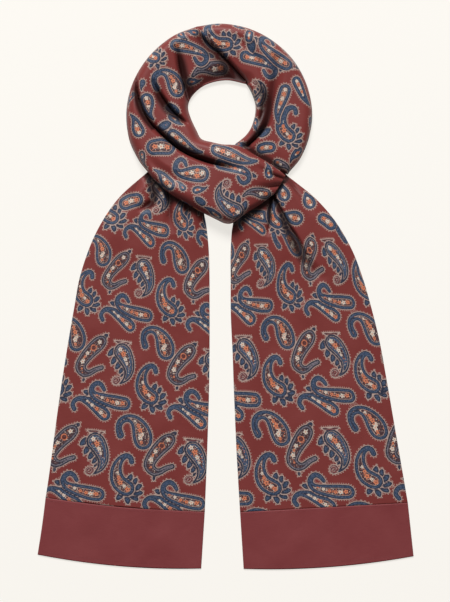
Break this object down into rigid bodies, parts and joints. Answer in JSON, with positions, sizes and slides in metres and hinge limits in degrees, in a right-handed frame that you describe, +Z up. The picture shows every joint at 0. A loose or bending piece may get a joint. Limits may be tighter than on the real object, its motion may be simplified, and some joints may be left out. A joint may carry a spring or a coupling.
{
  "type": "silk scarf",
  "caption": "Long printed silk scarf laid flat: a loop round a neck opening, crossed in front, with two tails and plain end panels.",
  "frame": {"origin": "middle of the footprint, on the surface the scarf lies on", "axes": "+Z up from the surface, +Y towards the neck loop with the two tails running along -Y, +X to the right as seen from above"},
  "size_m": [0.5968, 0.8663, 0.0395],
  "materials": {
    "printed_silk": "burgundy silk twill with a small blue, grey and orange paisley print, soft low sheen",
    "plain_silk": "plain burgundy silk, fine weave, soft low sheen"
  },
  "bodies": {
    "root": {"loop_back": "printed_silk", "loop_front": "printed_silk", "tail_left": "printed_silk", "tail_right": "printed_silk", "end_left": "plain_silk", "end_right": "plain_silk"}
  },
  "joints": []
}
